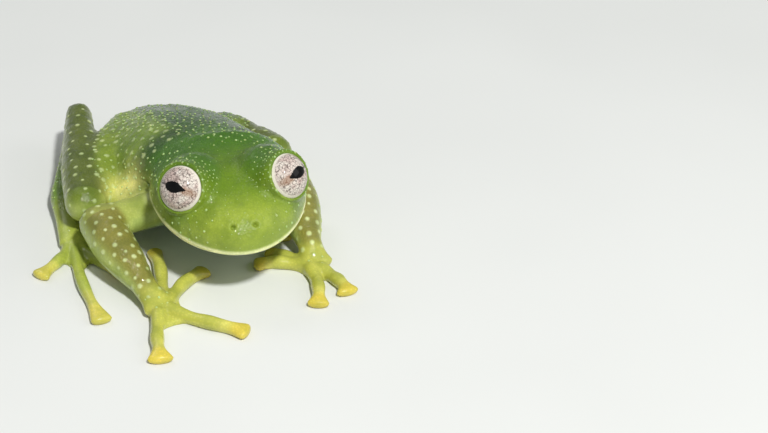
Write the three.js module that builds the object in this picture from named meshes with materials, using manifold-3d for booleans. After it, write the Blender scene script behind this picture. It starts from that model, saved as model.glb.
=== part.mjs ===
// A life-size glass frog, sitting with its head turned a little and its hands spread in front of it.
// Units are millimetres, +Z is up, the frog looks along -Y, and its left side is +X.
// The skin's forms are lofts through named sections. Thin cuts part them at the joints.

import * as THREE from "three";
import Module from "manifold-3d";

const wasm = await Module();
wasm.setup();

// Driving dimensions

const GAP = 0.3; // between two nodes that touch
const FLOOR_SINK = 0.08; // how far a resting form reaches under the floor before it is cut flat

const TRUNK = {
  length: 15.4,
  halfWidth: 5.1,
  sides: 28,
  // Places along the back as shares of the length, with shares of the half width, the back's and the belly's height,
  // and how far the axis has drifted to the frog's right.
  stations: [
    { at: -0.1, width: 0.76, back: 7.2, belly: 3.3, drift: 0 },
    { at: 0.03, width: 0.87, back: 7.15, belly: 2.1, drift: 0.1 },
    { at: 0.18, width: 1.0, back: 6.75, belly: 0.7, drift: 0.68 },
    { at: 0.36, width: 0.99, back: 6.1, belly: 0.05, drift: 1.18 },
    { at: 0.54, width: 0.95, back: 5.2, belly: -FLOOR_SINK, drift: 1.4 },
    { at: 0.69, width: 0.86, back: 4.2, belly: -FLOOR_SINK, drift: 1.5 },
    { at: 0.83, width: 0.69, back: 3.2, belly: -FLOOR_SINK, drift: 1.5 },
    { at: 0.94, width: 0.46, back: 2.4, belly: 0.25, drift: 1.6 },
  ],
  ventHeight: 1.35,
};

// The right flank, which fills the outer side of the body's bend between the arm and the leg.
const FLANK = { front: [-5.0, 1.9, 2.6], rear: [-5.7, 5.4, 2.3], halfWidth: 1.35 };

const HEAD = {
  neck: [0, 0, 5.6], // where the head's own frame sits on the trunk
  yaw: -4,
  pitch: -4.5,
  roll: -2, // degrees
  halfWidth: 4.99,
  jawY: -1.76, // the widest place, at the corners of the mouth
  snoutLength: 7.0, // from there to the tip of the lip
  outline: 1.9, // exponent of the snout's outline from above
  lipZ: -1.0,
  crown: 2.75, // from the lip line to the top of the head
  crownCurve: 2.6,
  chinDrop: 0.3,
  throatDrop: 1.5,
  neckY: 1.4,
  neckHalfWidth: 4.1,
  sides: 32,
};

const EYE = {
  centre: [3.09, -4.39, 1.39],
  radius: 1.62,
  gap: 0.13,
  lidRadius: 2.02,
  azimuth: 39.7,
  tilt: 35.7,
  opening: 0.72, // from the eye's centre to the plane of the lids' rim
};

const BROW = { centre: [2.3, -3.15, 0.75], radius: 2.15 };
const NOSTRIL = { x: 0.72, y: -7.95, z: 0.62, radius: 0.2, rim: 0.36 };

const ARM = { shoulder: 1.25, upper: 1.15, elbow: 1.25, forearm: 1.42, wrist: 0.82 };
const LEG = { knee: 1.3, calf: 1.42, heel: 0.92, tarsus: 0.72 };
const PALM = { halfWidth: 1.15, halfHeight: 0.55 };
const SOLE = { halfWidth: 0.95, halfHeight: 0.5 };
const FINGER = { root: 0.52, joint: 0.47, neck: 0.42, padHeight: 0.34 };
const TOE = { root: 0.46, joint: 0.42, neck: 0.37, padHeight: 0.32 };
const WEB = { height: 0.52, fingerReach: 0.34, toeReach: 0.5 };

// Where each joint lies: [x, y, z]. Digits run from root to tip, bow to one side, and end in a pad of a given half width.
const POSE = {
  right: {
    shoulder: [-3.2, 0.5, 2.6],
    elbow: [-8.5, -1.1, 2.8],
    wrist: [-6.75, -6.3, 1.25],
    palm: [-6.05, -8.0, 0.62],
    fingers: [
      { root: [-5.7, -6.9], tip: [-4.9, -1.4], bow: 0.2, pad: 0.55 },
      { root: [-5.4, -7.6], tip: [-2.4, -4.4], bow: -0.3, pad: 0.68 },
      { root: [-5.5, -8.4], tip: [-1.5, -11.7], bow: 0.2, pad: 0.78 },
      { root: [-6.3, -8.8], tip: [-7.2, -13.3], bow: 0.15, pad: 0.85 },
    ],
    hip: [-3.9, 11.2, 2.1],
    thigh: [1.65, 1.9, 1.7],
    knee: [-8.85, 1.75, 2.8],
    heel: [-7.0, 13.1, 3.0],
    ankle: [-9.7, 5.9, 0.9],
    sole: [-9.8, 0.9, 0.52],
    toes: [
      { root: [-9.3, 2.4], tip: [-6.7, 1.0], bow: 0.2, pad: 0.5 },
      { root: [-9.4, 1.6], tip: [-6.6, -1.5], bow: 0.2, pad: 0.55 },
      { root: [-9.6, 0.9], tip: [-7.5, -3.3], bow: 0.2, pad: 0.62 },
      { root: [-9.8, 0.7], tip: [-9.8, -8.2], bow: 0.35, pad: 0.72 },
      { root: [-10.0, 1.0], tip: [-12.5, -2.2], bow: -0.3, pad: 0.7 },
    ],
  },
  left: {
    shoulder: [2.2, 2.4, 2.8],
    elbow: [5.05, 0.7, 2.7],
    wrist: [4.8, -4.1, 1.2],
    palm: [4.9, -5.4, 0.62],
    fingers: [
      { root: [4.3, -5.0], tip: [2.4, -3.3], bow: -0.1, pad: 0.55 },
      { root: [4.2, -5.5], tip: [1.3, -4.4], bow: 0.2, pad: 0.68 },
      { root: [4.4, -6.1], tip: [3.8, -9.8], bow: -0.2, pad: 0.75 },
      { root: [5.1, -6.3], tip: [6.0, -8.9], bow: -0.15, pad: 0.8 },
    ],
    hip: [2.8, 10.9, 1.75],
    thigh: [1.3, 1.4, 1.05],
    knee: [4.9, 5.2, 2.75],
    heel: [3.2, 11.7, 1.0],
    ankle: [6.2, 7.3, 0.72],
    sole: [6.0, 3.9, 0.52],
    toes: [
      { root: [5.8, 4.8], tip: [3.6, 4.0], bow: -0.1, pad: 0.5 },
      { root: [5.7, 4.3], tip: [2.6, 2.3], bow: -0.1, pad: 0.55 },
      { root: [5.8, 3.8], tip: [2.4, 0.2], bow: -0.15, pad: 0.62 },
      { root: [5.9, 3.6], tip: [3.7, -1.5], bow: -0.3, pad: 0.72 },
      { root: [6.2, 3.8], tip: [5.5, 0.0], bow: 0.2, pad: 0.7 },
    ],
  },
};

const COLOURS = {
  head: 0x6f9a2c,
  lower_jaw: 0xb9cc62,
  trunk: 0x5f8c28,
  eye: 0xd8c8c0,
  arm: 0x9fae45,
  hand: 0xc3c43c,
  leg: 0x7d9440,
  foot: 0xb4bd3e,
};

// Small helpers

const vec = (a) => new THREE.Vector3(a[0], a[1], a[2] ?? 0);
const radians = THREE.MathUtils.degToRad;
const power = (value, exponent) => Math.sign(value) * Math.abs(value) ** exponent;
const UP = new THREE.Vector3(0, 0, 1);

// A mesh of rings, each the same number of points long, closed at both ends by a fan to the ring's middle.
function ringMesh(rings) {
  const sides = rings[0].length;
  const points = rings.flat();
  const faces = [];
  for (let i = 0; i + 1 < rings.length; i++)
    for (let j = 0; j < sides; j++) {
      const k = (j + 1) % sides;
      const [a, b] = [i * sides + j, i * sides + k];
      const [c, d] = [a + sides, b + sides];
      faces.push(a, c, b, b, c, d);
    }
  for (const [ring, start, out] of [[rings[0], 0, false], [rings.at(-1), (rings.length - 1) * sides, true]]) {
    const middle = new THREE.Vector3();
    ring.forEach((p) => middle.addScaledVector(p, 1 / sides));
    points.push(middle);
    for (let j = 0; j < sides; j++) {
      const [a, b] = [start + j, start + ((j + 1) % sides)];
      faces.push(...(out ? [a, points.length - 1, b] : [b, points.length - 1, a]));
    }
  }
  return solid(points, faces);
}

function solid(points, faces) {
  const made = new wasm.Manifold(
    new wasm.Mesh({
      numProp: 3,
      vertProperties: new Float32Array(points.flatMap((p) => [p.x, p.y, p.z])),
      triVerts: new Uint32Array(faces),
    }),
  );
  if (made.volume() > 0) return made;
  const turned = [];
  for (let i = 0; i < faces.length; i += 3) turned.push(faces[i], faces[i + 2], faces[i + 1]);
  return solid(points, turned);
}

// A limb through stations { at: Vector3, width, height }, with rounded ends. Its sections stand square to its path.
function limb(stations, { sides = 12, steps = 3 } = {}) {
  const curve = new THREE.CatmullRomCurve3(stations.map((s) => s.at), false, "centripetal");
  const rings = [];
  const last = (stations.length - 1) * steps;
  const ring = (t, shrink, push) => {
    const place = t * (stations.length - 1);
    const i = Math.min(Math.floor(place), stations.length - 2);
    const mix = THREE.MathUtils.smoothstep(place - i, 0, 1);
    const width = THREE.MathUtils.lerp(stations[i].width, stations[i + 1].width, mix);
    const height = THREE.MathUtils.lerp(stations[i].height, stations[i + 1].height, mix);
    const tangent = curve.getTangent(t).normalize();
    const side = new THREE.Vector3().crossVectors(tangent, UP).normalize();
    const up = new THREE.Vector3().crossVectors(side, tangent);
    const centre = curve.getPoint(t).addScaledVector(tangent, push * Math.min(width, height));
    const points = [];
    for (let j = 0; j < sides; j++) {
      const angle = ((j + 0.5) / sides) * 2 * Math.PI;
      points.push(
        centre
          .clone()
          .addScaledVector(side, width * shrink * Math.cos(angle))
          .addScaledVector(up, height * shrink * Math.sin(angle)),
      );
    }
    rings.push(points);
  };
  const capAngles = [75, 40];
  for (const angle of capAngles) ring(0, Math.cos(radians(angle)), -Math.sin(radians(angle)));
  for (let i = 0; i <= last; i++) ring(i / last, 1, 0);
  for (const angle of [...capAngles].reverse()) ring(1, Math.cos(radians(angle)), Math.sin(radians(angle)));
  return ringMesh(rings);
}

function ball(centre, radius, columns = 20, rows = 14) {
  const rings = [];
  for (let i = 1; i < rows; i++) {
    const polar = (i / rows) * Math.PI;
    const ring = [];
    for (let j = 0; j < columns; j++) {
      const turn = (j / columns) * 2 * Math.PI;
      const [flat, height] = [Math.sin(polar) * radius, Math.cos(polar) * radius];
      ring.push(new THREE.Vector3(flat * Math.cos(turn), flat * Math.sin(turn), height).add(centre));
    }
    rings.push(ring);
  }
  return ringMesh(rings);
}

const joined = (pieces) => pieces.reduce((a, b) => a.add(b));

// Keeps the side of a plane that its normal points away from, less half the gap.
function keepBehind(piece, point, normal, gap = GAP / 2) {
  const n = normal.clone().normalize();
  return piece.trimByPlane([-n.x, -n.y, -n.z], -n.dot(point) + gap);
}

function keepAhead(piece, point, normal, gap = GAP / 2) {
  return keepBehind(piece, point, normal.clone().negate(), gap);
}

const onFloor = (piece) => piece.trimByPlane([0, 0, 1], 0);

function largest(piece) {
  return piece.decompose().sort((a, b) => b.volume() - a.volume())[0];
}

// Trunk

function trunk(grow = 0) {
  const rings = [];
  const section = ({ at, width, back, belly, drift }, push = 0) => {
    const middle = belly + (back - belly) * 0.42;
    const half = width * TRUNK.halfWidth + grow;
    const ring = [];
    for (let j = 0; j < TRUNK.sides; j++) {
      const angle = (j / TRUNK.sides) * 2 * Math.PI;
      const rise = power(Math.sin(angle), 0.92);
      const reach = rise > 0 ? back + grow - middle : middle - belly + grow;
      const x = power(Math.cos(angle), 0.86) * half - drift;
      ring.push(new THREE.Vector3(x, at * TRUNK.length + push, middle + rise * reach));
    }
    rings.push(ring);
  };
  const blend = (a, b, mix) =>
    Object.fromEntries(Object.keys(a).map((key) => [key, THREE.MathUtils.lerp(a[key], b[key], mix)]));
  const stations = TRUNK.stations;
  for (let i = 0; i + 1 < stations.length; i++)
    for (const mix of [0, 0.5]) section(blend(stations[i], stations[i + 1], mix));
  const end = stations.at(-1);
  section(end);
  for (const [at, share] of [[0.985, 0.62], [1, 0.2]]) {
    const back = THREE.MathUtils.lerp(TRUNK.ventHeight, end.back, share);
    const belly = THREE.MathUtils.lerp(TRUNK.ventHeight, end.belly, share);
    section({ at, width: end.width * share, back, belly, drift: end.drift }, grow);
  }
  const size = FLANK.halfWidth + grow;
  const flank = [FLANK.front, FLANK.rear].map((place) => ({ at: vec(place), width: size, height: size }));
  return joined([ringMesh(rings), limb(flank)]);
}

// Head, in its own frame: the neck is its origin, and the snout points along -Y

const headMatrix = new THREE.Matrix4()
  .makeTranslation(...HEAD.neck)
  .multiply(new THREE.Matrix4().makeRotationZ(radians(HEAD.yaw)))
  .multiply(new THREE.Matrix4().makeRotationX(radians(-HEAD.pitch)))
  .multiply(new THREE.Matrix4().makeRotationY(radians(HEAD.roll)));
const ofHead = (a) => vec(a).applyMatrix4(headMatrix);
const headDirection = (a) => vec(a).transformDirection(headMatrix);

function headSection(y) {
  if (y > HEAD.jawY) {
    const mix = (y - HEAD.jawY) / (HEAD.neckY - HEAD.jawY);
    return {
      width: THREE.MathUtils.lerp(HEAD.halfWidth, HEAD.neckHalfWidth, mix * mix),
      top: HEAD.lipZ + HEAD.crown * (1 - 0.06 * mix),
      bottom: HEAD.lipZ - HEAD.chinDrop - HEAD.throatDrop - 0.5 * mix,
    };
  }
  const t = Math.min((HEAD.jawY - y) / HEAD.snoutLength, 1);
  return {
    width: HEAD.halfWidth * (1 - t ** HEAD.outline) ** (1 / HEAD.outline),
    top: HEAD.lipZ + HEAD.crown * (1 - t ** HEAD.crownCurve) ** (1 / HEAD.crownCurve),
    bottom: HEAD.lipZ - HEAD.chinDrop * Math.sqrt(1 - t ** 4) - HEAD.throatDrop * (1 - t) ** 0.8,
  };
}

function headLoft(grow = 0) {
  const rings = [];
  const ys = [];
  for (let i = 0; i <= 12; i++) ys.push(HEAD.jawY - HEAD.snoutLength * Math.sin(((12 - i) / 12) * (Math.PI / 2) * 0.985));
  for (let i = 1; i <= 4; i++) ys.push(THREE.MathUtils.lerp(HEAD.jawY, HEAD.neckY, i / 4));
  for (const y of ys) {
    const s = headSection(y);
    const ring = [];
    for (let j = 0; j < HEAD.sides; j++) {
      const angle = (j / HEAD.sides) * 2 * Math.PI;
      const rise = power(Math.sin(angle), 0.86);
      const reach = rise > 0 ? s.top - HEAD.lipZ + grow : HEAD.lipZ - s.bottom + grow;
      ring.push(ofHead([power(Math.cos(angle), 0.9) * (s.width + grow), y, HEAD.lipZ + rise * reach]));
    }
    rings.push(ring);
  }
  return ringMesh(rings);
}

const eyeAxis = (s) => {
  const [azimuth, tilt] = [radians(EYE.azimuth), radians(EYE.tilt)];
  return headDirection([s * Math.sin(azimuth) * Math.cos(tilt), -Math.cos(azimuth) * Math.cos(tilt), Math.sin(tilt)]);
};
const mirrored = (a, s) => [s * a[0], a[1], a[2]];
const eyeCentre = (s) => ofHead(mirrored(EYE.centre, s));

function lid(s, grow = 0) {
  const centre = eyeCentre(s);
  const rim = centre.clone().addScaledVector(eyeAxis(s), EYE.opening);
  return keepBehind(ball(centre, EYE.lidRadius + grow, 24, 14), rim, eyeAxis(s), -grow);
}

const brow = (s) => ball(ofHead(mirrored(BROW.centre, s)), BROW.radius, 24, 14);

function nostril(s) {
  const at = ofHead([s * NOSTRIL.x, NOSTRIL.y, NOSTRIL.z]);
  const under = at.clone().addScaledVector(headDirection([0, 0.5, -1]), 0.2);
  return { rim: ball(under, NOSTRIL.rim, 10, 7), pit: ball(at, NOSTRIL.radius, 8, 6) };
}

function headParts() {
  const nostrils = [-1, 1].map(nostril);
  let whole = joined([headLoft(), brow(-1), brow(1), lid(-1), lid(1), ...nostrils.map((n) => n.rim)]);
  for (const n of nostrils) whole = whole.subtract(n.pit);
  for (const s of [-1, 1]) whole = whole.subtract(ball(eyeCentre(s), EYE.radius + EYE.gap, 24, 14));
  whole = keepBehind(whole, vec([0, 0.35, 0]), vec([0, 1, 0]));
  const lip = ofHead([0, HEAD.jawY, HEAD.lipZ - 0.12]);
  const down = headDirection([0, 0, -1]);
  return { head: keepBehind(whole, lip, down), lower_jaw: keepAhead(whole, lip, down) };
}

// Limbs: each segment is its own loft, cut at the joints by the plane that halves the bend

function bendNormal(before, joint, after) {
  const there = joint.clone().sub(before).normalize();
  return there.add(after.clone().sub(joint).normalize());
}

function segment(from, to, widths) {
  const last = widths.length - 1;
  const stations = widths.map((w, i) => ({
    at: from.clone().lerp(to, i / last),
    width: w,
    height: w,
  }));
  return limb(stations);
}

function digit({ root, tip, bow, pad }, size) {
  const [from, to] = [vec([...root, size.root - FLOOR_SINK]), vec([...tip, size.padHeight - FLOOR_SINK])];
  const along = to.clone().sub(from);
  const aside = new THREE.Vector3().crossVectors(along, UP).normalize();
  const at = (share, height) => {
    const p = from.clone().addScaledVector(along, share).addScaledVector(aside, bow * Math.sin(Math.PI * share));
    return p.setZ(height - FLOOR_SINK);
  };
  const stations = [
    { at: at(0, size.root), width: size.root, height: size.root },
    { at: at(0.3, size.neck + 0.02), width: size.neck, height: size.neck },
    { at: at(0.55, size.joint), width: size.joint, height: size.joint },
    { at: at(0.8, size.neck), width: size.neck, height: size.neck },
    { at: at(1, size.padHeight), width: pad, height: size.padHeight },
  ];
  return limb(stations, { sides: 8, steps: 2 });
}

// A web: a thin sheet on the floor between two neighbouring digits, with its free edge curved in towards the palm.
function web(a, b, reach) {
  const [root, other] = [a.root, b.root];
  const along = (d, share) => [
    THREE.MathUtils.lerp(d.root[0], d.tip[0], share),
    THREE.MathUtils.lerp(d.root[1], d.tip[1], share),
  ];
  const [p, q] = [along(a, reach), along(b, reach)];
  const inner = [(root[0] + other[0]) / 2, (root[1] + other[1]) / 2];
  const dip = [0, 1].map((k) => THREE.MathUtils.lerp((p[k] + q[k]) / 2, inner[k], 0.45));
  const shape = new THREE.Shape();
  shape.moveTo(...root);
  shape.lineTo(...p);
  shape.quadraticCurveTo(...dip, ...q);
  shape.lineTo(...other);
  const outline = shape.getPoints(5);
  if (THREE.ShapeUtils.isClockWise(outline)) outline.reverse();
  const [points, faces] = [[], []];
  for (const z of [-FLOOR_SINK, WEB.height]) for (const o of outline) points.push(new THREE.Vector3(o.x, o.y, z));
  const n = outline.length;
  for (const [i, j, k] of THREE.ShapeUtils.triangulateShape(outline, [])) {
    faces.push(i, k, j, i + n, j + n, k + n);
  }
  for (let i = 0; i < n; i++) {
    const j = (i + 1) % n;
    faces.push(i, j, j + n, i, j + n, i + n);
  }
  return solid(points, faces);
}

const webs = (digits, pairs, reach) => pairs.map(([i, j]) => web(digits[i], digits[j], reach));

function arm(pose) {
  const [shoulder, elbow, wrist, palm] = [pose.shoulder, pose.elbow, pose.wrist, pose.palm].map(vec);
  const elbowCut = bendNormal(shoulder, elbow, wrist);
  const wristCut = bendNormal(elbow, wrist, palm);
  const upper = segment(shoulder, elbow, [ARM.shoulder, ARM.upper, ARM.upper * 1.02, ARM.elbow]);
  const fore = segment(elbow, wrist, [ARM.elbow, ARM.forearm, ARM.forearm * 0.86, ARM.wrist]);
  const flat = palm.clone().setZ(PALM.halfHeight - FLOOR_SINK);
  const hand = joined([
    limb([
      { at: wrist.clone(), width: ARM.wrist, height: ARM.wrist },
      { at: flat.clone().lerp(wrist, 0.4), width: ARM.wrist * 1.08, height: ARM.wrist * 0.82 },
      { at: flat, width: PALM.halfWidth, height: PALM.halfHeight },
    ]),
    ...pose.fingers.map((f) => digit(f, FINGER)),
    ...webs(pose.fingers, [[1, 2], [2, 3]], WEB.fingerReach),
  ]);
  return {
    upper_arm: keepBehind(upper, elbow, elbowCut),
    forearm: keepBehind(keepAhead(fore, elbow, elbowCut), wrist, wristCut),
    hand: keepAhead(hand, wrist, wristCut),
  };
}

function leg(pose) {
  const [hip, knee, heel, ankle, sole] = [pose.hip, pose.knee, pose.heel, pose.ankle, pose.sole].map(vec);
  const kneeCut = bendNormal(hip, knee, heel);
  const heelCut = bendNormal(knee, heel, ankle);
  const ankleCut = bendNormal(heel, ankle, sole);
  const thigh = segment(hip, knee, [...pose.thigh, LEG.knee]);
  const shank = segment(knee, heel, [LEG.knee, LEG.calf, LEG.calf * 0.82, LEG.heel]);
  const tarsus = segment(heel, ankle, [LEG.heel, LEG.tarsus, LEG.tarsus * 0.95, LEG.tarsus]);
  const flat = sole.clone().setZ(SOLE.halfHeight - FLOOR_SINK);
  const foot = joined([
    limb([
      { at: ankle.clone(), width: LEG.tarsus, height: LEG.tarsus },
      { at: flat.clone().lerp(ankle, 0.5), width: LEG.tarsus * 1.05, height: LEG.tarsus * 0.85 },
      { at: flat, width: SOLE.halfWidth, height: SOLE.halfHeight },
    ]),
    ...pose.toes.map((t) => digit(t, TOE)),
    ...webs(pose.toes, [[0, 1], [1, 2], [2, 3], [3, 4]], WEB.toeReach),
  ]);
  return {
    thigh: keepBehind(thigh, knee, kneeCut),
    shank: keepBehind(keepAhead(shank, knee, kneeCut), heel, heelCut),
    tarsus: keepBehind(keepAhead(tarsus, heel, heelCut), ankle, ankleCut),
    foot: keepAhead(foot, ankle, ankleCut),
  };
}

// Assembly

const pieces = new Map();
const bodyGrown = joined([trunk(GAP), headLoft(GAP), lid(-1, GAP), lid(1, GAP)]);

for (const [name, piece] of Object.entries(headParts())) pieces.set(name, [piece, COLOURS[name]]);
pieces.set("trunk", [keepAhead(trunk(), vec([0, 0.35, 0]), vec([0, 1, 0])), COLOURS.trunk]);
for (const [side, s] of [["right", -1], ["left", 1]]) {
  pieces.set("eye_" + side, [ball(eyeCentre(s), EYE.radius, 24, 16), COLOURS.eye]);
  const clear = (piece) => piece.subtract(bodyGrown);
  const a = arm(POSE[side]);
  const l = leg(POSE[side]);
  pieces.set("upper_arm_" + side, [clear(a.upper_arm), COLOURS.arm]);
  pieces.set("forearm_" + side, [a.forearm, COLOURS.arm]);
  pieces.set("hand_" + side, [a.hand, COLOURS.hand]);
  pieces.set("thigh_" + side, [clear(l.thigh), COLOURS.leg]);
  pieces.set("shank_" + side, [clear(l.shank), COLOURS.leg]);
  pieces.set("tarsus_" + side, [l.tarsus, COLOURS.leg]);
  pieces.set("foot_" + side, [l.foot, COLOURS.foot]);
}

function meshOf(name, piece, colour) {
  const { vertProperties, triVerts, numProp } = largest(onFloor(piece)).getMesh();
  const positions = [];
  for (let i = 0; i < vertProperties.length; i += numProp) positions.push(...vertProperties.slice(i, i + 3));
  const geometry = new THREE.BufferGeometry();
  geometry.setAttribute("position", new THREE.Float32BufferAttribute(positions, 3));
  geometry.setIndex(new THREE.Uint32BufferAttribute(triVerts, 1));
  geometry.computeVertexNormals();
  const material = new THREE.MeshStandardMaterial({ color: colour, roughness: 0.35, metalness: 0 });
  const mesh = new THREE.Mesh(geometry, material);
  mesh.name = name;
  return mesh;
}

const frog = new THREE.Group();
for (const [name, [piece, colour]] of pieces) frog.add(meshOf(name, piece, colour));

// The origin is on the floor, at the middle of the space that the frog takes up.
const box = new THREE.Box3().setFromObject(frog);
const middle = box.getCenter(new THREE.Vector3());
frog.position.set(-middle.x, -middle.y, -box.min.z);

export default frog;
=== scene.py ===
# A life-size glass frog with wet, granular green skin, pale reticulated eyes and yellow digits.
# Shapes are worked out in millimetres, with the frog looking along -Y and its left side at +X.
# They are moved to the row's frame, in metres, when each mesh is made.

import itertools
import math

import bpy
import numpy as np
from mathutils import Matrix, Vector
from mathutils.kdtree import KDTree


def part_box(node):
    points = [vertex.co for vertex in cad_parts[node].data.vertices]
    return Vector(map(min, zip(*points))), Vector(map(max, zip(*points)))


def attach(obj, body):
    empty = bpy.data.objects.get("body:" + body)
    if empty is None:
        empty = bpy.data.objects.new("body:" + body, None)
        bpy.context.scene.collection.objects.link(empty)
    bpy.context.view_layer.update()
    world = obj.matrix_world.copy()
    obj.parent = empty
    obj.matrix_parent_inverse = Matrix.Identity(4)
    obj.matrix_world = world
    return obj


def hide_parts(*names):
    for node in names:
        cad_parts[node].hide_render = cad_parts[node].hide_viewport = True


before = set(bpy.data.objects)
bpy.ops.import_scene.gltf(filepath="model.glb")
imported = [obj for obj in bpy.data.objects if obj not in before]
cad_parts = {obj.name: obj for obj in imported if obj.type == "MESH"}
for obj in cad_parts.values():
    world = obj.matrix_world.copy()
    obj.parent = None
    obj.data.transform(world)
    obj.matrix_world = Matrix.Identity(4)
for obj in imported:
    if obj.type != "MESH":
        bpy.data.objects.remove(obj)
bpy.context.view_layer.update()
rng = np.random.default_rng(7)

# Driving dimensions, in millimetres and degrees

FULL_VOXEL = 0.07
VOXEL = FULL_VOXEL
# Rounds of smoothing over the voxels' steps, and at the full voxel size of filling creases and of blending.
VOXEL_ROUNDS = 22
CREASE_ROUNDS = 300
BLEND_ROUNDS = 60
# Each round over the steps draws the surface in and lets it out again, so that it keeps its size.
SHRINK = 0.5
REGROW = -0.53
STEPS_PER_NORMAL = 12
FLOOR_SINK = 0.08
FLOOR_CLEARANCE = 0.01

TRUNK_LENGTH = 15.4
TRUNK_HALF_WIDTH = 5.1
VENT_HEIGHT = 1.35
# Each station: share of the length, share of the half width, heights of back and belly, drift to the right.
TRUNK_STATIONS = [
    (-0.1, 0.76, 7.2, 3.3, 0),
    (0.03, 0.87, 7.15, 2.1, 0.1),
    (0.18, 1.0, 6.75, 0.7, 0.68),
    (0.36, 0.99, 6.1, 0.05, 1.18),
    (0.54, 0.95, 5.2, -FLOOR_SINK, 1.4),
    (0.69, 0.86, 4.2, -FLOOR_SINK, 1.5),
    (0.83, 0.69, 3.2, -FLOOR_SINK, 1.5),
    (0.94, 0.46, 2.4, 0.25, 1.6),
]
# Two more stations round off the rump: share of the length, share of the last section.
RUMP = [(0.985, 0.62), (1, 0.2)]
TRUNK_SIDES = 56
TRUNK_RINGS_PER_STATION = 5
# How far up the trunk is widest, and the powers that square off or round its sections.
TRUNK_WIDEST = 0.42
TRUNK_ROUNDNESS = (0.86, 0.92)
FLANK = [(-5.0, 1.9, 2.6), (-5.7, 5.4, 2.3)]
FLANK_WIDTHS = [1.35, 1.35, 1.35]
ARMPIT_FOLD = [(-6.1, 0.7, 2.2), (-6.7, 4.0, 2.0)]
ARMPIT_WIDTHS = [0.7, 0.85, 0.7]

NECK = np.array([0, 0, 5.6])
HEAD_YAW = -4
HEAD_PITCH = -4.5
HEAD_ROLL = -2
HEAD_HALF_WIDTH = 4.99
JAW_Y = -1.76
SNOUT_LENGTH = 7.0
SNOUT_OUTLINE = 1.9
LIP_Z = -1.0
CROWN = 2.75
CROWN_CURVE = 2.6
CROWN_FALL = 0.06
CHIN_DROP = 0.3
CHIN_CURVE = 4
THROAT_DROP = 1.5
THROAT_CURVE = 0.8
THROAT_FALL = 0.5
NECK_Y = 1.4
NECK_HALF_WIDTH = 4.1
HEAD_SIDES = 64
HEAD_ROUNDNESS = (0.9, 0.86)
SNOUT_RINGS = 34
SNOUT_FIRST_RING = 0.995
NECK_RINGS = 10

EYE_CENTRE = (3.09, -4.39, 1.39)
EYE_RADIUS = 1.62
EYE_AZIMUTH = 39.7
EYE_TILT = 35.7
EYE_COLUMNS = 120
EYE_ROWS = 110
EYE_FIRST_ROW = 1.0
LID_RADIUS = 1.84
LID_OPENING = 0.72
LID_CUP_SET_BACK = 0.12
LID_RIM_SET_BACK = 0.03
LIP_OF_LID = 0.13
LIP_REACH = 0.75
UPPER_LID_EXTRA = 0.35
LID_RIM_SIDES = 14
LID_RIM_RINGS = 73
BROW_CENTRE = (2.3, -3.15, 0.75)
BROW_RADIUS = 2.12
NOSTRIL = (0.72, -7.95, 0.62)

ARM = {"shoulder": 1.25, "upper": 1.15, "elbow": 1.25, "forearm": 1.42, "wrist": 0.82}
LEG = {"knee": 1.3, "calf": 1.42, "heel": 0.92, "tarsus": 0.72}
# How limbs swell or narrow along their length, as shares of their own widths.
UPPER_ARM_SWELL = 1.02
FOREARM_TAPER = 0.86
HEEL_OF_HAND = (1.08, 0.82)
CALF_TAPER = 0.82
TARSUS_TAPER = 0.95
INSTEP = (1.05, 0.85)
CAP_ANGLES = [80, 62, 45, 28, 12]
# Half widths and half heights
PALM = (1.15, 0.55)
SOLE = (0.95, 0.5)
FINGER = {"root": 0.52, "joint": 0.47, "neck": 0.42, "pad_height": 0.34}
TOE = {"root": 0.46, "joint": 0.42, "neck": 0.37, "pad_height": 0.32}
DIGIT_STATIONS = [(0, "root"), (0.3, "neck"), (0.55, "joint"), (0.8, "neck")]
WEB_HEIGHT = 0.34
WEB_EDGE_POINTS = 9
# How the free edge of a web is shared between the tips and the roots of its digits.
WEB_DIP = (0.55, 0.45)
FINGER_WEB_REACH = 0.34
TOE_WEB_REACH = 0.5

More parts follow.
